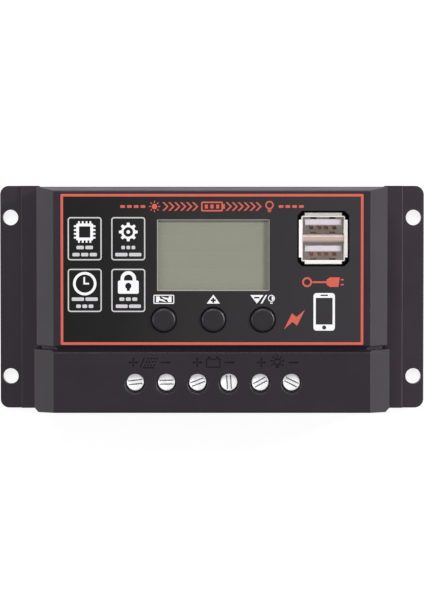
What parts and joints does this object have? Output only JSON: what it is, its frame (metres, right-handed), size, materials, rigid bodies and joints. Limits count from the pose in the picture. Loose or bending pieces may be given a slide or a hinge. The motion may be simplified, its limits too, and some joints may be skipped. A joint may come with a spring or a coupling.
{
  "type": "solar charge controller",
  "caption": "Flat black solar charge controller with mounting ears, display window, push keys, stacked USB sockets and screw clamp terminals for panel, battery and load.",
  "frame": {"origin": "middle of the flat back face, at the base of the case as it lies on its back", "axes": "+X to the right of the face as read, +Y towards the top edge, +Z out of the face; the wires enter from -Y"},
  "size_m": [0.1334, 0.07, 0.035],
  "materials": {
    "base_plastic": "fine satin texture, purple-black",
    "cover_plastic": "fine satin texture, purple-black",
    "steel": "zinc-plated",
    "label": "printed film, soft gloss, red border line",
    "window": "clear acrylic lens",
    "key_plastic": "satin black key",
    "switch_plunger": "natural moulded plastic",
    "switch_body": "black moulded plastic with a steel plate",
    "display_glass": "thin cell glass",
    "polariser": "grey reflective film, satin",
    "light_guide": "milky acrylic",
    "tinned": "tin plating, satin",
    "circuit_board": "green solder mask over glass fibre",
    "brass": "turned, satin",
    "header_plastic": "black moulded plastic",
    "gold_pins": "thin gold plating",
    "socket_shell": "bright nickel-plated sheet",
    "socket_plastic": "white moulded plastic",
    "terminal_plastic": "black moulded plastic",
    "heat_sink": "extruded, satin",
    "thermal_pad": "grey silicone sheet",
    "epoxy": "moulded epoxy",
    "can_aluminium": "drawn can, satin",
    "capacitor_sleeve": "dark blue shrink film with a grey stripe",
    "ferrite": "sintered, matt",
    "copper": "enamelled copper",
    "sensor_bead": "dipped epoxy bead on tinned legs",
    "terminal_screw": "bright nickel plating",
    "clamp_steel": "yellow-passivated zinc"
  },
  "bodies": {
    "housing": {"board_header_pins": "gold_pins", "board_header_strip": "header_plastic", "board_screws": "steel", "board_spacers": "brass", "capacitor_cans": "can_aluminium", "capacitor_sleeves": "capacitor_sleeve", "case_screws": "steel", "chip_leads": "tinned", "controller_chip": "epoxy", "current_shunts": "copper", "display_backlight": "light_guide", "display_board": "circuit_board", "display_glass": "display_glass", "display_pins": "tinned", "display_polariser": "polariser", "driver_chips": "epoxy", "face_label": "label", "heat_sink": "heat_sink", "inductor_core": "ferrite", "inductor_winding": "copper", "key_switch_bodies": "switch_body", "main_board": "circuit_board", "main_cover": "cover_plastic", "rear_base": "base_plastic", "socket_contacts": "gold_pins", "socket_shell": "socket_shell", "socket_tongues": "socket_plastic", "spacer_screws": "steel", "temperature_sensor": "sensor_bead", "terminal_block": "terminal_plastic", "terminal_contacts": "tinned", "terminal_cover": "cover_plastic", "thermal_pads": "thermal_pad", "transistor_bodies": "epoxy", "transistor_leads": "tinned", "transistor_screws": "steel", "transistor_tabs": "tinned", "window_lens": "window"},
    "menu_key": {"menu_key": "key_plastic", "menu_switch_plunger": "switch_plunger"},
    "up_key": {"up_key": "key_plastic", "up_switch_plunger": "switch_plunger"},
    "down_key": {"down_key": "key_plastic", "down_switch_plunger": "switch_plunger"},
    "panel_plus_screw": {"panel_plus_screw": "terminal_screw"},
    "panel_plus_clamp": {"panel_plus_clamp": "clamp_steel"},
    "panel_minus_screw": {"panel_minus_screw": "terminal_screw"},
    "panel_minus_clamp": {"panel_minus_clamp": "clamp_steel"},
    "battery_plus_screw": {"battery_plus_screw": "terminal_screw"},
    "battery_plus_clamp": {"battery_plus_clamp": "clamp_steel"},
    "battery_minus_screw": {"battery_minus_screw": "terminal_screw"},
    "battery_minus_clamp": {"battery_minus_clamp": "clamp_steel"},
    "load_plus_screw": {"load_plus_screw": "terminal_screw"},
    "load_plus_clamp": {"load_plus_clamp": "clamp_steel"},
    "load_minus_screw": {"load_minus_screw": "terminal_screw"},
    "load_minus_clamp": {"load_minus_clamp": "clamp_steel"}
  },
  "joints": [
    {"name": "menu_key_press", "type": "slide", "parent": "housing", "child": "menu_key", "axis": [0, 0, 1], "range_m": [-0.00035, 0], "stiffness_N_per_m": 2000},
    {"name": "up_key_press", "type": "slide", "parent": "housing", "child": "up_key", "axis": [0, 0, 1], "range_m": [-0.00035, 0], "stiffness_N_per_m": 2000},
    {"name": "down_key_press", "type": "slide", "parent": "housing", "child": "down_key", "axis": [0, 0, 1], "range_m": [-0.00035, 0], "stiffness_N_per_m": 2000},
    {"name": "panel_plus_screw_turn", "type": "hinge", "parent": "housing", "child": "panel_plus_screw", "pos_m": [-0.02335, -0.025, 0.03], "axis": [0, 0, 1], "range_deg": [-1800, 0]},
    {"name": "panel_plus_clamp_rise", "type": "slide", "parent": "housing", "child": "panel_plus_clamp", "axis": [0, 0, 1], "range_m": [0, 0.003]},
    {"name": "panel_minus_screw_turn", "type": "hinge", "parent": "housing", "child": "panel_minus_screw", "pos_m": [-0.01385, -0.025, 0.03], "axis": [0, 0, 1], "range_deg": [-1800, 0]},
    {"name": "panel_minus_clamp_rise", "type": "slide", "parent": "housing", "child": "panel_minus_clamp", "axis": [0, 0, 1], "range_m": [0, 0.003]},
    {"name": "battery_plus_screw_turn", "type": "hinge", "parent": "housing", "child": "battery_plus_screw", "pos_m": [-0.00435, -0.025, 0.03], "axis": [0, 0, 1], "range_deg": [-1800, 0]},
    {"name": "battery_plus_clamp_rise", "type": "slide", "parent": "housing", "child": "battery_plus_clamp", "axis": [0, 0, 1], "range_m": [0, 0.003]},
    {"name": "battery_minus_screw_turn", "type": "hinge", "parent": "housing", "child": "battery_minus_screw", "pos_m": [0.00515, -0.025, 0.03], "axis": [0, 0, 1], "range_deg": [-1800, 0]},
    {"name": "battery_minus_clamp_rise", "type": "slide", "parent": "housing", "child": "battery_minus_clamp", "axis": [0, 0, 1], "range_m": [0, 0.003]},
    {"name": "load_plus_screw_turn", "type": "hinge", "parent": "housing", "child": "load_plus_screw", "pos_m": [0.01465, -0.025, 0.03], "axis": [0, 0, 1], "range_deg": [-1800, 0]},
    {"name": "load_plus_clamp_rise", "type": "slide", "parent": "housing", "child": "load_plus_clamp", "axis": [0, 0, 1], "range_m": [0, 0.003]},
    {"name": "load_minus_screw_turn", "type": "hinge", "parent": "housing", "child": "load_minus_screw", "pos_m": [0.02415, -0.025, 0.03], "axis": [0, 0, 1], "range_deg": [-1800, 0]},
    {"name": "load_minus_clamp_rise", "type": "slide", "parent": "housing", "child": "load_minus_clamp", "axis": [0, 0, 1], "range_m": [0, 0.003]}
  ],
  "couplings": [
    {"joint": "panel_plus_screw_turn", "follows": "panel_plus_clamp_rise", "rad_per_m": -10472},
    {"joint": "panel_minus_screw_turn", "follows": "panel_minus_clamp_rise", "rad_per_m": -10472},
    {"joint": "battery_plus_screw_turn", "follows": "battery_plus_clamp_rise", "rad_per_m": -10472},
    {"joint": "battery_minus_screw_turn", "follows": "battery_minus_clamp_rise", "rad_per_m": -10472},
    {"joint": "load_plus_screw_turn", "follows": "load_plus_clamp_rise", "rad_per_m": -10472},
    {"joint": "load_minus_screw_turn", "follows": "load_minus_clamp_rise", "rad_per_m": -10472}
  ]
}
